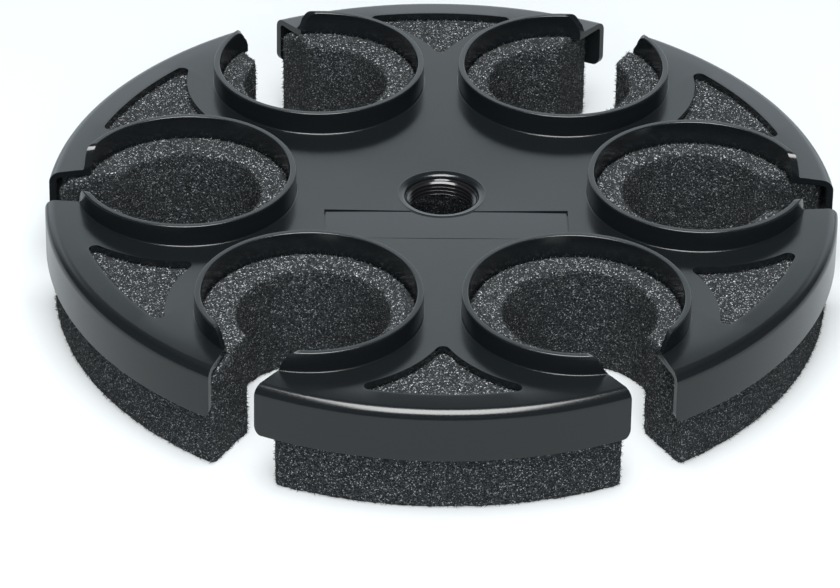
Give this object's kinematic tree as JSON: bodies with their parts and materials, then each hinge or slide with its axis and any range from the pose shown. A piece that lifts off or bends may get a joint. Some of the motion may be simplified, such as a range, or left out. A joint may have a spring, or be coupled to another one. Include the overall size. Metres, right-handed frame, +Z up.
{
  "type": "microphone tray",
  "caption": "Round foam-lined tray that screws on a microphone stand and holds microphones upright, each in a collared cup with a cable slot.",
  "frame": {"origin": "centre of the foam pad's underside, on the tray's axis", "axes": "+Z up along the tray's axis, out of the deck; -Y is the front, where the label plate is; +X to the right"},
  "size_m": [0.1806, 0.1812, 0.0307],
  "materials": {
    "tray_plastic": "satin black moulded plastic, fine grain",
    "insert_plastic": "glossy black, moulded thread",
    "label": "blank satin black plate",
    "adhesive": "clear double-sided film",
    "foam": "charcoal open-cell polyurethane foam"
  },
  "bodies": {
    "root": {"tray_hub": "tray_plastic", "tray_arm_front": "tray_plastic", "tray_arm_front_right": "tray_plastic", "tray_arm_back_right": "tray_plastic", "tray_arm_back": "tray_plastic", "tray_arm_back_left": "tray_plastic", "tray_arm_front_left": "tray_plastic", "collar_front_right": "tray_plastic", "collar_right": "tray_plastic", "collar_back_right": "tray_plastic", "collar_back_left": "tray_plastic", "collar_left": "tray_plastic", "collar_front_left": "tray_plastic", "threaded_insert": "insert_plastic", "label_plate": "label", "adhesive_film": "adhesive", "foam_core": "foam", "foam_arm_front": "foam", "foam_arm_front_right": "foam", "foam_arm_back_right": "foam", "foam_arm_back": "foam", "foam_arm_back_left": "foam", "foam_arm_front_left": "foam"}
  },
  "joints": []
}
